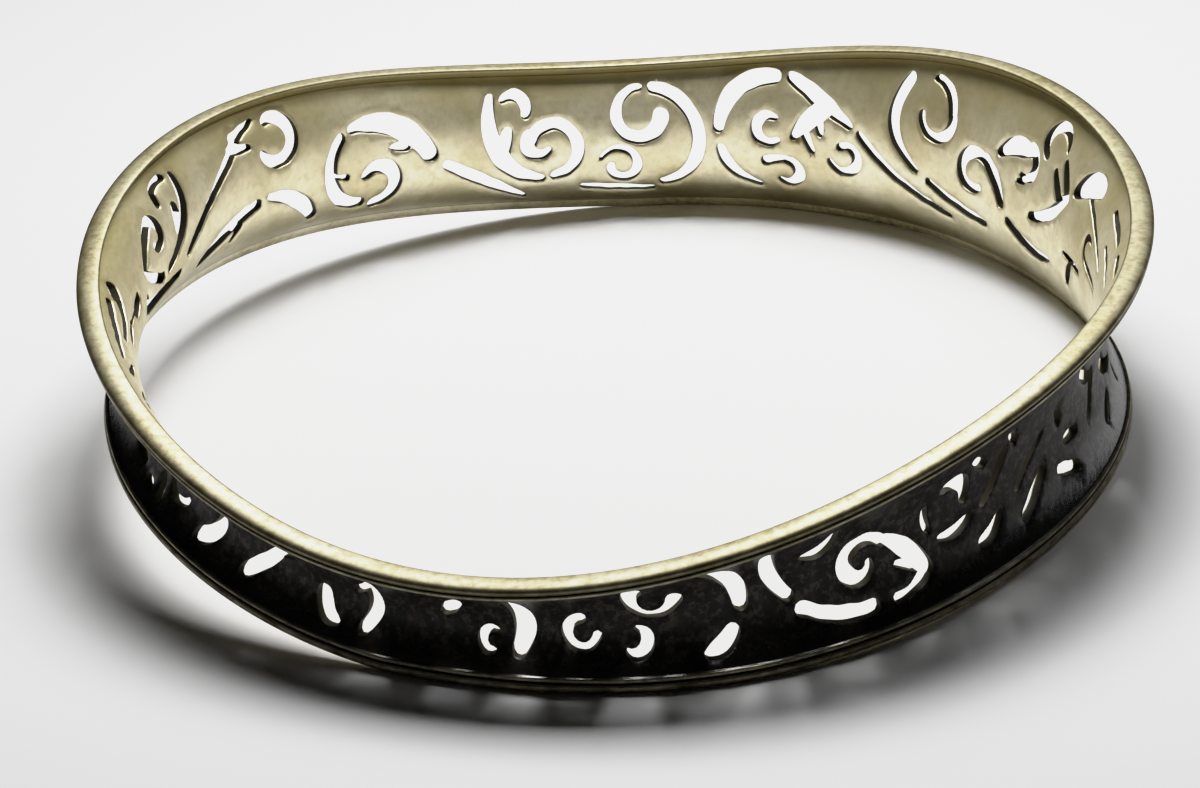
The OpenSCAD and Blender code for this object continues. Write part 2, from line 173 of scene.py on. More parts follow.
        (29, 113.9, 7.7, 124.7, 11.2, 1.15, 1.3, 1.7, 0.75),
        (29, 117.2, 8.8, 119.5, 9, 0, 0.9, 0.8, 0.3), (31, 126.2, 7.6, 128.4, 8, 0, 0.5, 0.4, 0.4),
        (32, 131.1, 5.2, 138.9, 8.5, 0.6, 0.9, 1.2, 0.6),
        (34, 139, 14.4, 143.2, 13.8, 0, 0.3, 0.6, 0.9),
        (34, 141.2, 12.9, 144.4, 13.2, 0, 0.5, 0.7, 0.9),
        (34, 142.8, 13.8, 144.6, 13, 0, 0.9, 0.9, 0.9),
        (34, 144, 13.2, 156.6, 8.4, 0.15, 0.9, 0.75, 0.7),
        (35, 141.2, 8.4, 151.9, 6.3, 0.3, 0.9, 1.3, 0.9),
        (35, 144.5, 7.4, 145.6, 6.4, 0, 0.8, 0.6, 0.4),
        (36, 155.9, 14, 162.8, 8.8, -1.15, 0.7, 1.1, 0.7),
        (36, 158.4, 12.4, 159, 10.8, 0, 0.8, 1.1, 0.8),
        (37, 157.6, 14.3, 160.9, 14, 0.15, 0.5, 0.5, 0.5),
        (37, 160.8, 14.1, 161.3, 13.2, 0.1, 0.5, 0.6, 0.6),
        (38, 158.6, 7.2, 173, 8.4, -0.35, 0.9, 1.15, 1.1),
        (38, 172.6, 8.9, 173.4, 7.2, 0, 1, 0.8, 0.3),
        (39, 165.5, 12.9, 171.3, 10.8, 0.2, 0.7, 0.8, 0.7),
        (39, 170.9, 10.4, 165, 8.7, 0.15, 0.7, 0.75, 0.8),
        (40, 176.7, 10.2, 179.9, 9.9, 0, 0.9, 1.2, 0.9),
        (40, 179.6, 10.1, 184.6, 10.3, 0, 0.35, 0.35, 0.35),
        (40, 184.2, 10.2, 188.2, 9.9, 0, 0.5, 0.75, 0.4),
        (41, 181.4, 12.5, 183.2, 11.9, 0, 0.7, 0.9, 0.8),
        (41, 182.8, 11.9, 190, 10.8, -0.35, 0.7, 0.55, 0.4),
        (42, 184.6, 12.35, 195, 10.9, -0.1, 0.4, 0.4, 0.25),
        (43, 194.6, 10.1, 197.6, 10.3, 0, 0.3, 0.5, 0.4),
        (44, 197.8, 8.5, 203.7, 9.2, 0.4, 0.5, 1, 0.6),
        (45, 200.4, 6.4, 203.4, 5.75, 0, 0.4, 0.6, 0.4),
        (46, 205.2, 5.3, 206.7, 5, 0, 0.45, 0.55, 0.4),
        (47, 208.2, 6.1, 209, 4.6, 0, 0.4, 0.6, 0.4),
        (50, 224.9, 3.3, 229.3, 5, -0.1, 0.9, 1, 0.8),
        (50, 228.8, 5.1, 231.8, 5.1, 0, 0.6, 0.4, 0.25),
        (51, 235.4, 3.3, 237.5, 1.95, -0.3, 1.1, 1, 0.5),
        (52, 239.8, 4.1, 241.3, 4.6, 0, 0.6, 0.6, 0.6),
        (52, 240.8, 1.9, 241.4, 4.6, -0.5, 0.8, 1, 0.8),
        (53, 250, 3.8, 251.6, 4.6, 0, 0.6, 1, 0.7), (55, 256.6, 5.3, 258.1, 2, 0.7, 0.3, 1.3, 1),
        (61, 283.3, 7.1, 285.8, 3.9, -0.35, 0.9, 1, 0.8),
        (62, 287.1, 2.95, 294.8, 2.05, -0.3, 0.9, 0.9, 0.8),
        (63, 287.2, 6.3, 290.8, 7.7, -0.5, 0.4, 1, 0.5),
        (64, 297.1, 5.8, 302.1, 2.9, 0.25, 0.7, 1.2, 1.1),
        (64, 300.8, 3.4, 298.6, 3.8, 0, 1, 0.7, 0.5),
        (64, 302.1, 2.9, 297.7, 2, 0.25, 1, 0.6, 0.6),
        (65, 302.4, 6.7, 303.1, 5, -0.15, 0.5, 0.6, 0.5),
        (66, 304.6, 4.2, 309.8, 4.8, -0.3, 0.5, 0.9, 0.4),
        (68, 309.1, 8.7, 311, 7.9, 0, 0.6, 0.7, 0.6),
        (69, 310.3, 2.65, 314.6, 3.9, -0.25, 0.6, 0.85, 0.4),
        (70, 311.3, 4.9, 314.4, 7.9, -0.3, 0.5, 0.9, 0.9),
        (71, 314.8, 9.3, 316.6, 8, 0, 0.6, 0.7, 0.6),
        (72, 317.6, 4.4, 322.6, 7, 0.1, 0.5, 0.7, 0.5),
        (73, 317.7, 2.4, 323.4, 4.4, -0.1, 0.5, 0.95, 0.8),
        (74, 325.6, 8, 327, 6.6, 0, 0.5, 0.9, 0.7),
        (75, 326.8, 3.25, 330.8, 2.55, 0, 0.8, 0.85, 0.7),
        (76, 329, 4.8, 332.3, 4.6, 0, 0.7, 0.9, 0.6),
        (77, 331.6, 9.2, 335.6, 7.4, -0.2, 0.5, 0.8, 0.9),
        (78, 342, 2.5, 346, 3.5, 0, 0.6, 0.7, 0.5),
        (79, 343.1, 6.7, 352.1, 4.2, -0.6, 0.9, 1.1, 0.5),
        (80, 352.9, 2.3, 352.8, 3.3, 0, 0.4, 0.5, 0.4),
    ],
}


def stationAngles():
    # evenly spaced angles of the steps round the ring
    return np.arange(bangle["stations"]) * 360 / bangle["stations"]


def ringLines(angle):
    # every column of the n sections at an angle: each row times sin(n gap / 2) / (n tan(gap / 2)), summed
    sections = np.array(bangle["sections"], float)
    count = len(sections)
    gap = np.radians(angle[:, None] - sections[None, :, 0])
    near = np.abs(np.sin(gap / 2)) < bangle["tiny"]
    safe = np.where(near, 1.0, gap)
    weight = np.where(near, 1.0, np.sin(count / 2 * safe) / (count * np.tan(safe / 2)))
    topRadius, topHeight, footRadius, footHeight = (weight @ sections[:, 1:]).T
    return topRadius, topHeight, footRadius, np.maximum(footHeight, 0)


def bandEdges(angle):
    # heights where the pierced band begins and ends: foot plus the rim's height, top less the rim's height
    topHeight, footHeight = ringLines(angle)[1::2]
    return footHeight + bangle["rimHeight"], topHeight - bangle["rimHeight"]


def wallRadius(angle, height, depth):
    # straight line from foot to top edge, less the inset, the depth and waist * (1 - |2 share - 1| ^ power)
    topRadius, footRadius = ringLines(angle)[::2]
    low, high = bandEdges(angle)
    share = np.clip((height - low) / (high - low), 0, 1)
    hollow = bangle["waist"] * (1 - np.abs(2 * share - 1) ** bangle["waistPower"])
    return footRadius + (topRadius - footRadius) * share - bangle["inset"] - hollow - depth, share


def smoothNoise(angle, height, seed, turns, rise):
    # sum of sines, whole turns round the ring and slow waves up the wall, so it closes on itself
    rng = np.random.default_rng(seed)
    total = np.zeros(len(angle))
    for k in range(bangle["noiseSines"]):
        waves = rng.integers(turns // 2, turns * 2)
        lean, begin = rise * rng.uniform(-1, 1), rng.uniform(0, bangle["noiseBegin"])
        total += np.sin(np.radians(angle) * waves + height * lean + begin)
    return total / bangle["noiseSpread"]


def strokeWidth(first, middle, last, share):
    # parabola through the first, middle and last width
    early, late = (1 - share) * (1 - 2 * share), share * (2 * share - 1)
    return first * early + middle * 4 * share * (1 - share) + last * late


def curlLines(share):
    # centre plus a radius and a turn that both change evenly along the stroke
    curls = np.array(bangle["curls"], float).T[1:, :, None]
    angle, height, startRadius, endRadius, startTurn, endTurn, first, middle, last = curls
    turn = np.radians(startTurn + (endTurn - startTurn) * share)
    radius = startRadius + (endRadius - startRadius) * share
    across = angle * bangle["along"] + radius * np.cos(turn)
    up = height + radius * np.sin(turn)
    return np.stack([across, up], -1), strokeWidth(first, middle, last, share) / 2


def slotLines(share):
    # straight run pushed sideways by 4 bow s (1 - s), s being the share of its length
    slots = np.array(bangle["slots"], float).T[1:, :, None]
    startAngle, startHeight, endAngle, endHeight, bow, first, middle, last = slots
    along = bangle["along"]
    run = np.concatenate([(endAngle - startAngle) * along, endHeight - startHeight], 1)
    side = np.stack([-run[:, 1], run[:, 0]], 1) / np.linalg.norm(run, axis=1, keepdims=True)
    push = bow * 4 * share * (1 - share)
    across = startAngle * along + run[:, :1] * share + side[:, :1] * push
    up = startHeight + run[:, 1:] * share + side[:, 1:] * push
    return np.stack([across, up], -1), strokeWidth(first, middle, last, share) / 2


def strokeLines():
    # middle lines and half widths of all strokes, curls first
    share = np.linspace(0, 1, bangle["strokeSteps"])
    curlLine, curlHalf = curlLines(share)
    slotLine, slotHalf = slotLines(share)
    gaps = {row[0] for row in bangle["curls"] + bangle["slots"]}
    print("strokes:", len(curlLine) + len(slotLine), "in", len(gaps), "gaps")
    return np.concatenate([curlLine, slotLine]), np.concatenate([curlHalf, slotHalf])


def strokeOutlines(lines, halves, offset):
    # middle line plus and minus (half width + offset) along its normal, closed by round ends, evenly spaced
    ahead = np.gradient(lines, axis=1)
    ahead /= np.linalg.norm(ahead, axis=2, keepdims=True)
    side = np.stack([-ahead[..., 1], ahead[..., 0]], -1)
    half = (halves + offset)[..., None]
    turn = np.radians(np.linspace(bangle["endTurn"], -bangle["endTurn"], bangle["endSteps"]))[None, :, None]
    ends = []
    for index, way in ((-1, 1), (0, -1)):
        middle, forward = lines[:, index, None], ahead[:, index, None] * way
        across = side[:, index, None] * way
        ends.append(middle + half[:, index, None] * (forward * np.cos(turn) + across * np.sin(turn)))
    loops = np.concatenate([lines + side * half, ends[0], (lines - side * half)[:, ::-1], ends[1]], 1)
    closed = np.concatenate([loops, loops[:, :1]], 1)
    hops = np.linalg.norm(np.diff(closed, axis=1), axis=2)
    walk = np.concatenate([np.zeros((len(loops), 1)), hops.cumsum(1)], 1)
    even = []
    for loop, steps in zip(closed, walk):
        count = max(bangle["fewest"], int(steps[-1] / bangle["spacing"]))
        at = np.linspace(0, steps[-1], count, endpoint=False)
        even.append(np.stack([np.interp(at, steps, loop[:, 0]), np.interp(at, steps, loop[:, 1])], -1))
    return even


def gapDistance(points, lines, halves):
    # distance to the nearest stroke's middle line, less its half width there: negative inside a gap
    best = np.full(len(points), bangle["farAway"])
    for line, half in zip(lines, halves):
        reach = half.max() + bangle["reach"]
        near = np.nonzero(((points > line.min(0) - reach) & (points < line.max(0) + reach)).all(1))[0]
        if len(near):
            apart = np.linalg.norm(points[near, None] - line[None], axis=2) - half[None]
            best[near] = np.minimum(best[near], apart.min(1))
    return best


def keepInside(points, room):
    # heights are held at least this room away from both rims
    low, high = bandEdges(points[:, 0] / bangle["along"])
    return np.stack([points[:, 0], np.clip(points[:, 1], low + room, high - room)], -1)


def toPlan(points):
    # the wall laid out as a flat ring, which keeps every shape true:
    # turn = angle, radius = mean radius * exp((height - middle height) / mean radius)
    mean = math.degrees(bangle["along"])
    turn = np.radians(points[:, 0] / bangle["along"])
    radius = mean * np.exp((points[:, 1] - bangle["middleHeight"]) / mean)
    return np.stack([radius * np.cos(turn), radius * np.sin(turn)], -1)


def fromPlan(plan):
    # the reverse of toPlan, as angle in degrees and height
    mean = math.degrees(bangle["along"])
    angle = np.degrees(np.arctan2(plan[:, 1], plan[:, 0])) % 360
    return angle, bangle["middleHeight"] + mean * np.log(np.linalg.norm(plan, axis=1) / mean)


def plainPoints(lines, halves):
    # points off the outlines, with the distance from their gap's edge: two rows round every gap for its
    # soft edge, staggered rows over the plain metal, and rows along both rims
    free, level = [], []
    for part, room in bangle["edgeRows"]:
        offset = part * bangle["edgeRadius"]
        row = keepInside(np.concatenate(strokeOutlines(lines, halves, offset)), room)
        row = row[gapDistance(row, lines, halves) > offset * bangle["edgeClear"]]
        free.append(row)
        level.append(np.full(len(row), offset))
    step = bangle["lattice"]
    across, up = np.meshgrid(
        np.arange(0, 360 * bangle["along"] - step / 2, step),
        np.arange(*bangle["latticeSpan"], step * bangle["latticeRise"]),
    )
    across = across + (np.arange(len(up)) % 2)[:, None] * step / 2
    lattice = np.stack([across.ravel(), up.ravel()], -1)
    held = keepInside(lattice, bangle["latticeRoom"])
    inside = np.abs(held[:, 1] - lattice[:, 1]) < bangle["tiny"]
    inside &= gapDistance(lattice, lines, halves) > bangle["edgeRadius"] + bangle["latticeClear"]
    free.append(lattice[inside])
    angle = stationAngles()
    low, high = bandEdges(angle)
    for room, skip in bangle["rimRows"]:
        for height in (high - room, low + room):
            row = np.stack([angle * bangle["along"], height], -1)[::skip]
            free.append(row[gapDistance(row, lines, halves) > bangle["edgeRadius"] + bangle["rimClear"]])
    onPlain = sum(len(row) for row in free[len(level):])
    return np.concatenate(free), np.concatenate([*level, np.full(onPlain, 1.0)])


def piercedSheet():
    # flat ring between the two rims, triangulated so that every stroke outline is followed and left open
    lines, halves = strokeLines()
    angle = stationAngles()
    low, high = bandEdges(angle)
    rims = [np.stack([angle * bangle["along"], height], -1) for height in (high, low)]
    loops = rims + [keepInside(o, bangle["border"]) for o in strokeOutlines(lines, halves, 0)]
    counts = np.array([len(loop) for loop in loops])
    starts = np.concatenate([[0], counts.cumsum()])
    edges = np.concatenate([
        np.stack([np.arange(count), (np.arange(count) + 1) % count], -1) + start
        for count, start in zip(counts, starts)
    ])
    free, freeLevel = plainPoints(lines, halves)
    points = np.concatenate(loops + [free])
    levels = np.concatenate([np.full(counts[:2].sum(), 1.0), np.zeros(counts[2:].sum()), freeLevel])
    faces = [list(range(start, start + count)) for count, start in zip(counts, starts)]
    made, _, triangles, pointSources, _, faceSources = delaunay_2d_cdt(
        toPlan(points).tolist(), edges.tolist(), faces, 0, bangle["weld"]
    )
    made, triangles = np.array(made), np.array(triangles)
    # metal lies inside the upper rim's loop alone: the lower rim and the gaps are further loops within it
    triangles = triangles[np.fromiter(map(len, faceSources), int) == 1]
    # first given point at each made one, or -1 where two outlines cross
    given = np.fromiter(map(len, pointSources), int)
    source = np.full(len(made), len(points))
    np.minimum.at(
        source, np.repeat(np.arange(len(made)), given), np.fromiter(chain.from_iterable(pointSources), int)
    )
    source[given == 0] = -1
    madeLevel = np.where(source >= 0, levels[np.maximum(source, 0)], 0.0)
    used, triangles = np.unique(triangles, return_inverse=True)
    return made[used], triangles.reshape(-1, 3)[:, ::-1], madeLevel[used], source[used]


def uneven(angle, height):
    # hand-cut wobble of the outlines and cast ripple of the faces: smooth noise that fades out at the rims
    low, high = bandEdges(angle)
    calm = np.clip(np.minimum(height - low, high - height) / bangle["calm"], 0, 1)
    wobble = calm * bangle["wobble"]
    angle = angle + wobble * smoothNoise(angle, height, *bangle["wobbleAcross"]) / bangle["along"]
    height = height + wobble * smoothNoise(angle, height, *bangle["wobbleUp"])
    slow = smoothNoise(angle, height, *bangle["rippleSlow"])
    quick = bangle["quickShare"] * smoothNoise(angle, height, *bangle["rippleQuick"])
    return angle, height, (slow + quick) * (calm * bangle["ripple"])


def softEdge(level):
    # quarter circle down from the face near a gap: radius - sqrt(radius^2 - (radius - distance)^2)
    radius = bangle["edgeRadius"]
    away = np.clip(radius - level, 0, radius)
    return radius - np.sqrt(np.maximum(radius**2 - away**2, 0))


def cutEdges(triangles, onRim):
    # open edges of the sheet that aren't on a rim, as pairs of point numbers
    edge = np.concatenate([triangles[:, [0, 1]], triangles[:, [1, 2]], triangles[:, [2, 0]]])
    code = edge[:, 0] * len(onRim) + edge[:, 1]
    back = edge[:, 1] * len(onRim) + edge[:, 0]
    border = edge[~np.isin(code, back)]
    return border[~(onRim[border[:, 0]] & onRim[border[:, 1]])]


def rimRows(name, way, edgeRadius, edgeHeight):
    # an outline carried round its edge of the band: radius less inset and swell, height plus way * drop
    outline = np.array(bangle[name])
    steps, angle = len(outline), stationAngles()
    swell = np.stack([
        smoothNoise(angle, np.full(len(angle), float(step)), bangle[name + "Seed"], *bangle["swellNoise"])
        for step in range(steps)
    ], 1)
    swell = bangle["swell"] * (swell - swell.min()) * np.sin(np.linspace(0, np.pi, steps)) ** 0.5
    outward = np.where(outline[:, 0] < bangle["rimMiddle"], 1, -1)
    radii = edgeRadius[:, None] - outline[:, 0] - swell * outward
    return outline, radii, edgeHeight[:, None] + way * outline[:, 1]


def newPiece(name, points, triangleFaces, quadFaces, marks):
    # one mesh object from whole arrays of points and faces, with the marks kept at its points
    mesh = bpy.data.meshes.new(name)
    mesh.vertices.add(len(points))
    mesh.vertices.foreach_set("co", points.astype(np.float32).ravel())
    corners = np.concatenate([triangleFaces.ravel(), quadFaces.ravel()])
    sizes = np.concatenate([np.full(len(triangleFaces), 3), np.full(len(quadFaces), 4)])
    mesh.loops.add(len(corners))
    mesh.loops.foreach_set("vertex_index", corners.astype(np.int32))
    mesh.polygons.add(len(sizes))
    mesh.polygons.foreach_set("loop_start", np.concatenate([[0], sizes.cumsum()[:-1]]).astype(np.int32))
    mesh.polygons.foreach_set("use_smooth", np.ones(len(sizes), bool))
    mesh.update(calc_edges=True)
    mesh.validate()
    for mark, values in marks.items():
        data = mesh.attributes.new(mark, "FLOAT", "POINT").data
        data.foreach_set("value", values.astype(np.float32))
    piece = bpy.data.objects.new(name, mesh)
    bpy.context.scene.collection.objects.link(piece)
    return piece


def buildBangle():
    # outer face, inner face, cut faces between them and a rim round each edge, joined point by point
    plan, triangles, level, source = piercedSheet()
    angle, height, ripple = uneven(*fromPlan(plan))
    count, stations = len(plan), bangle["stations"]
    print("pierced sheet:", count, "points,", len(triangles), "triangles")
    sink = softEdge(level)
    outerRadius, share = wallRadius(angle, height, sink + ripple)
    innerRadius, share = wallRadius(angle, height, bangle["wall"] - sink + ripple * bangle["innerRipple"])
    # layers hold angle, height, radius and kind: 0 outer face, 1 inner face, between them a cut face, 2 rim
    layers = [(angle, height, outerRadius, np.zeros(count)), (angle, height, innerRadius, np.ones(count))]
    onRim = (source >= 0) & (source < 2 * stations)
    cutPoints, cutIndex = np.unique(cutEdges(triangles, onRim), return_inverse=True)
    start = 2 * count
    rows = [cutPoints]
    for part in bangle["cutRows"]:
        radius = outerRadius[cutPoints] * (1 - part) + innerRadius[cutPoints] * part
        layers.append((angle[cutPoints], height[cutPoints], radius, np.full(len(cutPoints), part)))
        rows.append(start + np.arange(len(cutPoints)))
        start += len(cutPoints)
    rows.append(count + cutPoints)
    a, b = cutIndex.reshape(-1, 2).T
    quads = [np.stack([near[b], near[a], far[a], far[b]], -1) for near, far in zip(rows[:-1], rows[1:])]
    # rims: the first and last point of each outline are the sheet's own, the foot's rim is upside down
    topRadius, topHeight, footRadius, footHeight = ringLines(stationAngles())
    where = np.full(2 * stations, -1)
    where[source[onRim]] = np.nonzero(onRim)[0]
    rimInsets, rimDrops, rimShares = [], [], []
    rimKinds = (("rim", -1, topRadius, topHeight), ("footRim", 1, footRadius, footHeight))
    for name, way, edgeRadius, edgeHeight in rimKinds:
        outline, radii, heights = rimRows(name, way, edgeRadius, edgeHeight)
        between = len(outline) - 2
        made = stations * between
        layers.append((
            np.repeat(stationAngles(), between), heights[:, 1:-1].ravel(),
            radii[:, 1:-1].ravel(), np.full(made, 2.0),
        ))
        rimInsets.append(np.tile(outline[1:-1, 0], stations))
        rimDrops.append(np.tile(outline[1:-1, 1], stations))
        rimShares.append(np.full(made, 1.0 if way < 0 else 0.0))
        index = np.zeros((stations, len(outline)), int)
        index[:, 0] = where[:stations] if way < 0 else where[stations:]
        index[:, -1] = index[:, 0] + count
        index[:, 1:-1] = start + np.arange(made).reshape(stations, -1)
        start += made
        after = np.roll(index, -1, 0)
        quad = np.stack([index[:, :-1], after[:, :-1], after[:, 1:], index[:, 1:]], -1).reshape(-1, 4)
        quads.append(quad if way < 0 else quad[:, ::-1])
    allAngle, allHeight, allRadius, kind = (np.concatenate(column) for column in zip(*layers))
    allAngle = np.radians(allAngle)
    points = np.stack([
        allRadius * np.cos(allAngle) + bangle["centre"][0],
        allRadius * np.sin(allAngle) + bangle["centre"][1],
        allHeight,
    ], -1) / 1000
    # marks for the finish: how far through the wall, share of the wall height, place on a rim outline
    cutRows = len(bangle["cutRows"])
    onRims, onCuts = sum(len(part) for part in rimDrops), len(cutPoints) * cutRows
    plain = np.zeros(len(points) - onRims)
    marks = {
        "through": np.where(kind <= 1, kind, 0.0),
        "share": np.concatenate([share, share, np.tile(share[cutPoints], cutRows), *rimShares]),
        "inset": np.concatenate([plain, *rimInsets]),
        "drop": np.concatenate([plain + bangle["rimHeight"], *rimDrops]),
        "onRim": (kind > 1).astype(float),
        "cutFace": np.concatenate([np.zeros(2 * count), np.ones(onCuts), np.zeros(onRims)]),
    }
    triangleFaces = np.concatenate([triangles, triangles[:, ::-1] + count])
    quadFaces = np.concatenate(quads)
    print("bangle mesh:", len(points), "points,", len(triangleFaces) + 2 * len(quadFaces), "triangles")
    return newPiece("bangleSilver", points, triangleFaces, quadFaces, marks)


bangleSilver = buildBangle()

silver = {
    "clean": (0.87, 0.802, 0.57),  # bare metal of the inner wall
    "tarnish": (0.56, 0.478, 0.25),  # yellowed patches on it
    "underRimShade": (0.47, 0.405, 0.19),  # painted olive shade high on the inner wall and under the rims
    "crown": (0.425, 0.388, 0.24),  # cream tops of the rims
    "stain": (0.265, 0.215, 0.07),  # olive-brown patches on the crowns
    "edge": (0.08, 0.063, 0.026),  # brown: worn specks, tarnish with painted shade on the sides and inner edge of the crowns, painted shade low on the inner wall
    "black": (0.013, 0.012, 0.011),  # blackened outer wall and grooves
    "worn": (0.075, 0.064, 0.05),  # brown-grey splotches and streaks in the black
    "cut": (0.036, 0.032, 0.021),  # sides of the gaps
    # noises: scale, detail, roughness
    "cloud": (160, 3, 0.55),
    "patch": (700, 5, 0.6),
    "mottle": (1900, 5, 0.7),
    "grain": (2600, 4, 0.6),
    "streak": (1500, 3, 0.6),
    "streakStretch": (1, 1, 0.12),  # draws the streaks out up the wall
    # bands on a rim outline: middle drop, half width, fade
    "groove": (0.645, 0.06, 0.04),
    "lip": (0.83, 0.08, 0.06),
    # fades over a rim outline: inset or drop where each begins and ends
    "outerInset": (0.45, 0.55),
    "sideInset": (0.08, 0.75),
    "sideDrop": (0.5, 0.56),
    "crownDrop": (0.52, 0.57),
    "underInset": (0.5, 0.6),
    "underDrop": (0.2, 0.26),
    "innerInset": (1.46, 1.56),
    "flareDrop": (0.88, 0.93),
    # fades up the wall, from 0 at the foot to 1 at the upper rim: begin, end, then the values there if any
    "upperRim": (0.4, 0.6),
    # painted shade high on the inner wall, under the upper rim
    "underRimShadeShare": (0.7, 1.0),
    "satinShare": (0.4, 0.75, 0.0, 0.9),
    # painted shade low on the inner wall, darker towards the foot
    "lowInnerShadeShare": (0.02, 0.26, 0.5, 0.0),
    "wearShare": (0.0, 0.3, 0.3, 1.0),
    "flareShare": (0.04, 0.24),
    # fades into the wall, from 0 outside to 1 inside, and over the edges of the gaps
    "blackDepth": (0.6, 1.0),
    "flareDepth": (0.0, 0.3),
    "cutFade": (0.2, 0.8),
    # fades with a noise: low, high, then the values there if any
    # mottling of the painted shade under the rims
    "underRimShadeCloud": (0.35, 0.6, 0.6, 1.0),
    "lipPatch": (0.4, 0.62, 0.25, 0.6),
    "tarnishCloud": (0.4, 0.64, 0.0, 0.75),
    "tarnishPatch": (0.45, 0.75, 0.0, 0.7),
    "stainMottle": (0.4, 0.6, 0.4, 0.85),
    "wearMottle": (0.44, 0.66),
    "sidePatch": (0.3, 0.7, 0.5, 1.0),
    "wornMottle": (0.5, 0.6),
    "wornStreak": (0.52, 0.72, 0.0, 0.5),
    "grainRough": (0.3, 0.7, 0.35, 0.47),
    # amounts
    "innerEdgeTarnishAndShade": 0.75,  # amount of brown tarnish and painted shade along the inner edge of the crown
    "flareBlack": 0.8,  # on the flare above the foot
    "wear": (0.16, 0.5),  # off the crowns, on them
    # gloss: pairs are for bare and for blackened metal
    "metallic": (1.0, 0.25),
    "specular": (0.5, 0.3),
    "cutGloss": (1.0, 0.2),  # share of the gloss off the cut faces, on them
    "crownDull": 0.35,  # metallic taken off on the crowns
    "satinDull": 0.5,  # and high on the inner wall
    "blackRough": 0.1,  # roughness added where the metal is black
    "crownRough": 0.02,  # and on the crowns
    "flareSmooth": 0.32,  # roughness taken off on the flare
    "flareGloss": 0.5,  # specular added there
    "bump": (0.08, 0.03),  # off the crowns, on them
    "bumpBlack": 0.32,  # added where the metal is black
    "bumpDepth": 0.00012,  # metres
}


def nodeMaker(tree):
    # short names for the nodes that the finish and the sky are made of
    def add(kind, inputs=None, **settings):
        node = tree.nodes.new(kind)
        for key, value in settings.items():
            setattr(node, key, value)
        for key, value in (inputs or {}).items():
            if isinstance(value, bpy.types.NodeSocket):
                tree.links.new(value, node.inputs[key])
            else:
                node.inputs[key].default_value = value
        return node

    def sums(operation, a, b=0.0, clamp=False):
        return add("ShaderNodeMath", {0: a, 1: b}, operation=operation, use_clamp=clamp).outputs[0]

    def times(*values):
        total = values[0]
        for value in values[1:]:
            total = sums("MULTIPLY", total, value)
        return total

    def ramp(value, low, high, toLow=0.0, toHigh=1.0, kind="LINEAR"):
        limits = {"From Min": low, "From Max": high, "To Min": toLow, "To Max": toHigh}
        return add("ShaderNodeMapRange", {"Value": value, **limits}, interpolation_type=kind).outputs[0]

    def bandAt(value, middle, half, fade):
        # 1 within half of the middle, falling to 0 over the fade
        apart = sums("ABSOLUTE", sums("SUBTRACT", value, middle))
        return ramp(apart, half, half + fade, 1.0, 0.0)

    def blend(factor, a, b):
        node = add("ShaderNodeMix", {"Factor": factor}, data_type="RGBA")
        for socket, colour in ((node.inputs[6], a), (node.inputs[7], b)):
            if isinstance(colour, bpy.types.NodeSocket):
                tree.links.new(colour, socket)
            else:
                socket.default_value = (*colour, 1.0)
        return node.outputs[2]

    return add, sums, times, ramp, bandAt, blend


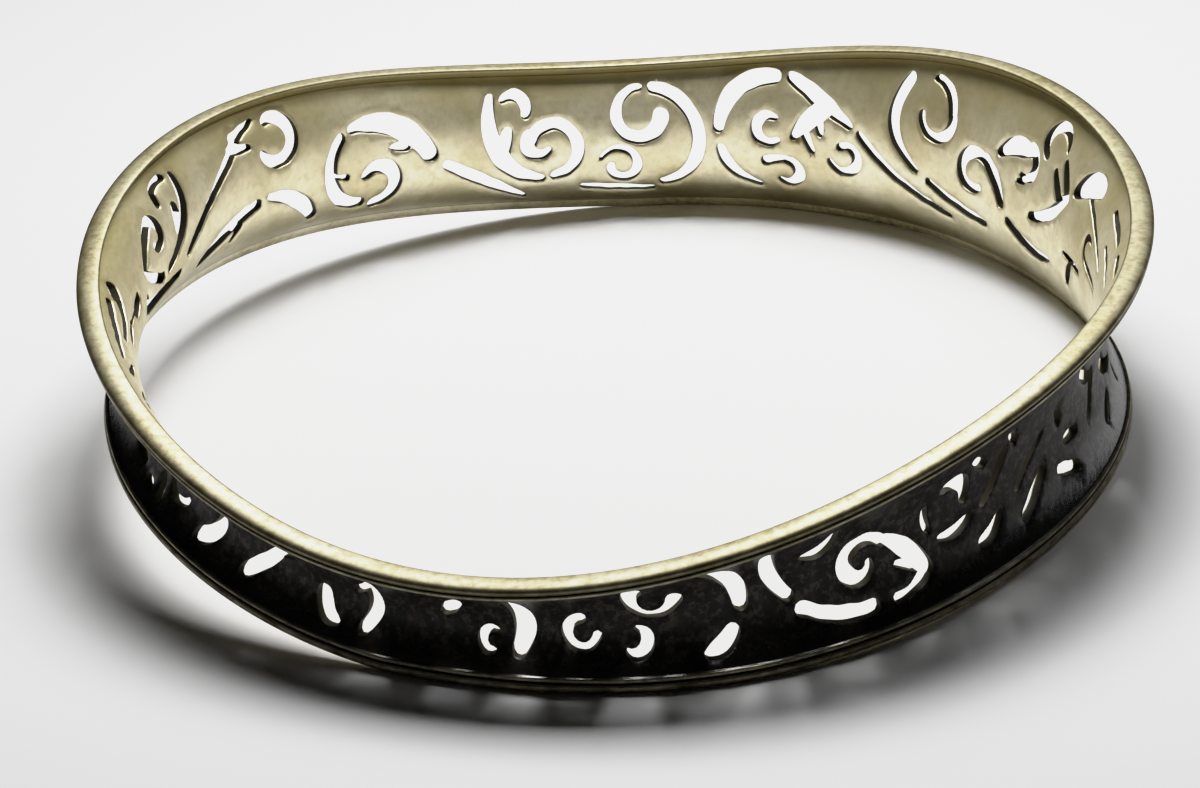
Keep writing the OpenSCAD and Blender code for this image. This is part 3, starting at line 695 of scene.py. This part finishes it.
def silverFinish():
    # places found from the marks, then pale metal and soot, each built up in layers, then black as their mix
    material = bpy.data.materials.new("darkenedSilver")
    material.use_nodes = True
    tree = material.node_tree
    add, sums, times, ramp, bandAt, blend = nodeMaker(tree)
    shader = tree.nodes["Principled BSDF"]
    place = add("ShaderNodeTexCoord").outputs["Object"]

    def noise(name, where=place):
        scale, detail, rough = silver[name]
        settings = {"Vector": where, "Scale": scale, "Detail": detail, "Roughness": rough}
        return add("ShaderNodeTexNoise", settings).outputs["Fac"]

    def mark(name):
        return add("ShaderNodeAttribute", attribute_name=name).outputs["Fac"]

    def fade(value, name):
        return ramp(value, *silver[name])

    def fall(value, name):
        return ramp(value, *silver[name], 1.0, 0.0)

    def between(value, name):
        # first value of the pair at 0, second at 1
        return ramp(value, 0.0, 1.0, *silver[name])

    def without(value):
        return sums("SUBTRACT", 1.0, value)

    cloud, patch, mottle, grain = noise("cloud"), noise("patch"), noise("mottle"), noise("grain")
    stretched = add("ShaderNodeVectorMath", {0: place, 1: silver["streakStretch"]}, operation="MULTIPLY")
    streak = noise("streak", stretched.outputs[0])
    through, share, cutFace = mark("through"), mark("share"), mark("cutFace")
    inset, drop, onRim = mark("inset"), mark("drop"), mark("onRim")
    # rims: groove and lip low on the outer side, crown above them and over the whole inner side
    outside, upper = fall(inset, "outerInset"), fade(share, "upperRim")
    groove = times(onRim, outside, bandAt(drop, *silver["groove"]))
    lip = times(onRim, outside, bandAt(drop, *silver["lip"]))
    side = times(onRim, fall(inset, "sideInset"), fall(drop, "sideDrop"))
    # painted shade on the underside of the crown's inner overhang, on the upper rim
    crownUndersideShade = times(onRim, fade(inset, "underInset"), fade(drop, "underDrop"), upper)
    innerEdge = times(onRim, fade(inset, "innerInset"), upper)
    crown = times(onRim, sums("MAXIMUM", fall(drop, "crownDrop"), without(outside)))
    # wall: painted olive shade and satin high inside, painted brown shade low inside, glossy flare low
    # outside
    onCut = fade(cutFace, "cutFade")
    # painted olive shade high on the inner wall and under the crowns, mottled by clouds
    underRimShade = sums("MAXIMUM", times(fade(share, "underRimShadeShare"), through), crownUndersideShade)
    underRimShade = times(underRimShade, fade(cloud, "underRimShadeCloud"))
    satin = sums("MAXIMUM", underRimShade, times(fade(share, "satinShare"), through))
    # painted brown shade low on the inner wall, darkest at the foot
    low = times(fade(share, "lowInnerShadeShare"), through)
    flare = times(fall(share, "flareShare"), fall(through, "flareDepth"))
    flare = times(flare, fade(drop, "flareDrop"), without(onCut))
    # blackening: full on the outer wall and the cut faces, none on the crowns, less on the lips
    dark = times(sums("MAXIMUM", fall(through, "blackDepth"), onCut), without(crown))
    dark = sums("SUBTRACT", dark, times(lip, fade(patch, "lipPatch")), clamp=True)
    darkCut = times(cutFace, dark)
    # pale metal: tarnished in clouds and patches, worn brown in specks, and brown tarnish with painted shade
    # along the edges of the crowns
    pale = blend(times(crown, upper), silver["clean"], silver["crown"])
    tarnish = sums("MAXIMUM", fade(cloud, "tarnishCloud"), fade(patch, "tarnishPatch"))
    pale = blend(times(tarnish, without(crown)), pale, silver["tarnish"])
    pale = blend(times(tarnish, crown, fade(mottle, "stainMottle")), pale, silver["stain"])
    wear = times(between(crown, "wear"), fade(mottle, "wearMottle"), fade(share, "wearShare"))
    pale = blend(wear, pale, silver["edge"])
    # olive-brown tarnish with painted shade on the rounded sides and the inner edge of the crowns
    pale = blend(times(side, fade(patch, "sidePatch")), pale, silver["edge"])
    pale = blend(times(innerEdge, silver["innerEdgeTarnishAndShade"]), pale, silver["edge"])
    # painted brown shade low on the inner wall
    pale = blend(low, pale, silver["edge"])
    # painted olive shade high inside, under the rims
    pale = blend(underRimShade, pale, silver["underRimShade"])
    # soot: splotches and streaks worn into the black, none in the groove and few on the flare
    soot = blend(fade(mottle, "wornMottle"), silver["black"], silver["worn"])
    soot = blend(fade(streak, "wornStreak"), soot, silver["worn"])
    soot = blend(onCut, soot, silver["cut"])
    soot = blend(groove, soot, silver["black"])
    soot = blend(times(flare, silver["flareBlack"]), soot, silver["black"])
    tree.links.new(blend(dark, pale, soot), shader.inputs["Base Color"])
    metal = sums("SUBTRACT", between(dark, "metallic"), times(crown, silver["crownDull"]))
    metal = sums("SUBTRACT", metal, times(satin, silver["satinDull"]), clamp=True)
    tree.links.new(times(metal, without(darkCut)), shader.inputs["Metallic"])
    rough = sums("ADD", fade(grain, "grainRough"), times(dark, silver["blackRough"]))
    rough = sums("SUBTRACT", rough, times(flare, silver["flareSmooth"]))
    rough = sums("ADD", rough, times(crown, silver["crownRough"]))
    tree.links.new(rough, shader.inputs["Roughness"])
    gloss = sums("ADD", between(dark, "specular"), times(flare, silver["flareGloss"]))
    gloss = times(gloss, between(darkCut, "cutGloss"))
    tree.links.new(gloss, shader.inputs["Specular IOR Level"])
    height = times(sums("ADD", patch, mottle), 0.5)
    strength = sums("ADD", times(dark, silver["bumpBlack"]), between(crown, "bump"))
    settings = {"Height": height, "Strength": strength, "Distance": silver["bumpDepth"]}
    tree.links.new(add("ShaderNodeBump", settings).outputs[0], shader.inputs["Normal"])
    return material


bangleSilver.data.materials.append(silverFinish())
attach(bangleSilver, "root")
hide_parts("bangle")
print("silver finish done")

stage = {
    "floorSize": 3.0,  # metres
    "floorColour": (0.86, 0.86, 0.86),
    "floorRough": 0.7,
    "floorGloss": 0.2,
    "look": (-0.25, 0.15, 5.0),  # mm, point the fitted camera turns about
    "elevation": 26.407,  # degrees
    "distance": 220.0,  # mm
    "roll": 3.804,  # degrees
    "picture": (1200, 788),  # pixels
    "focal": 3247.02,  # pixels
    "middle": (617.73, 347.98),  # pixel the camera points at
    "sensor": 36,  # mm
    "clip": (0.01, 10),  # metres
    # softboxes aimed at the origin: place and size in metres, watts
    "lights": {
        "overhead": ((0.008, 0.061, 0.15), (0.085, 0.075), 0.38),
        "overheadSide": ((0.09, 0.07, 0.15), (0.1, 0.05), 0.055),
        "overheadBack": ((0.0, 0.14, 0.15), (0.08, 0.045), 0.055),
    },
    "roomGlow": 0.05,
    "screenGlow": 2.8,
    # the screen's place as parts of a direction: fades in towards the back, out upwards and to both sides
    "screenBack": (0.6, 0.8),
    "screenTop": (0.45, 0.75),
    "screenSides": (0.1, 0.36),
    "aboveScreen": 0.1,  # share of the glow left above it
    # brightness in the scene and in the picture, so that whites roll off softly
    "shoulder": [(0.5, 0.5), (0.8, 0.74), (1.2, 0.85), (2.0, 0.895), (4.0, 0.92)],
}


def buildFloor():
    half = stage["floorSize"] / 2
    mesh = bpy.data.meshes.new("floor")
    corners = [(-half, -half, 0), (half, -half, 0), (half, half, 0), (-half, half, 0)]
    mesh.from_pydata(corners, [], [(0, 1, 2, 3)])
    floor = bpy.data.objects.new("floor", mesh)
    bpy.context.scene.collection.objects.link(floor)
    material = bpy.data.materials.new("palePaper")
    material.use_nodes = True
    shader = material.node_tree.nodes["Principled BSDF"]
    shader.inputs["Base Color"].default_value = (*stage["floorColour"], 1)
    shader.inputs["Roughness"].default_value = stage["floorRough"]
    shader.inputs["Specular IOR Level"].default_value = stage["floorGloss"]
    mesh.materials.append(material)
    return floor


def buildCamera():
    # fitted camera: looks along (0, cos e, -sin e) from its distance, with a small roll and shift
    tilt, roll = math.radians(stage["elevation"]), math.radians(stage["roll"])
    ahead = Vector((0, math.cos(tilt), -math.sin(tilt)))
    right = Vector((1, 0, 0))
    up = right.cross(ahead)
    turnedRight = right * math.cos(roll) - up * math.sin(roll)
    turnedUp = right * math.sin(roll) + up * math.cos(roll)
    width, height = stage["picture"]
    data = bpy.data.cameras.new("camera")
    data.sensor_width = stage["sensor"]
    data.lens = stage["sensor"] * stage["focal"] / width
    data.shift_x = -(stage["middle"][0] - width / 2) / width
    data.shift_y = (stage["middle"][1] - height / 2) / width
    data.clip_start, data.clip_end = stage["clip"]
    camera = bpy.data.objects.new("camera", data)
    bpy.context.scene.collection.objects.link(camera)
    turn = Matrix((turnedRight, turnedUp, -ahead)).transposed()
    spot = (Vector(stage["look"]) - ahead * stage["distance"]) / 1000
    camera.matrix_world = Matrix.Translation(spot) @ turn.to_4x4()
    bpy.context.scene.camera = camera


def buildLights():
    for name, (spot, size, power) in stage["lights"].items():
        data = bpy.data.lights.new(name, "AREA")
        data.shape, data.size, data.size_y = "RECTANGLE", size[0], size[1]
        data.energy = power
        light = bpy.data.objects.new(name, data)
        bpy.context.scene.collection.objects.link(light)
        light.location = spot
        light.rotation_euler = (Vector() - Vector(spot)).to_track_quat("-Z", "Y").to_euler()


def buildSky():
    # dim room with a narrow pale screen low behind: rise with y, falls with height and to both sides
    world = bpy.data.worlds.new("studio")
    world.use_nodes = True
    tree = world.node_tree
    add, sums, times, ramp = nodeMaker(tree)[:4]
    place = add("ShaderNodeTexCoord").outputs["Generated"]
    parts = add("ShaderNodeSeparateXYZ", {0: place}).outputs
    back = ramp(parts["Y"], *stage["screenBack"], 0.0, 1.0, "SMOOTHSTEP")
    band = ramp(parts["Z"], *stage["screenTop"], 1.0, stage["aboveScreen"], "SMOOTHSTEP")
    sides = ramp(sums("ABSOLUTE", parts["X"]), *stage["screenSides"], 1.0, 0.0, "SMOOTHSTEP")
    glow = sums("ADD", times(back, band, sides, stage["screenGlow"]), stage["roomGlow"])
    tree.links.new(glow, tree.nodes["Background"].inputs["Strength"])
    bpy.context.scene.world = world


def filmShoulder():
    # curve of the picture's brightness through the shoulder's points
    view = bpy.context.scene.view_settings
    view.view_transform = "Standard"
    view.use_curve_mapping = True
    mapping = view.curve_mapping
    *between, end = stage["shoulder"]
    mapping.clip_max_x = end[0]
    curve = mapping.curves[3]
    curve.points[-1].location = end
    for x, y in between:
        curve.points.new(x, y)
    mapping.update()


floor = buildFloor()
buildCamera()
buildLights()
buildSky()
filmShoulder()
print("stage done")

bpy.context.view_layer.update()
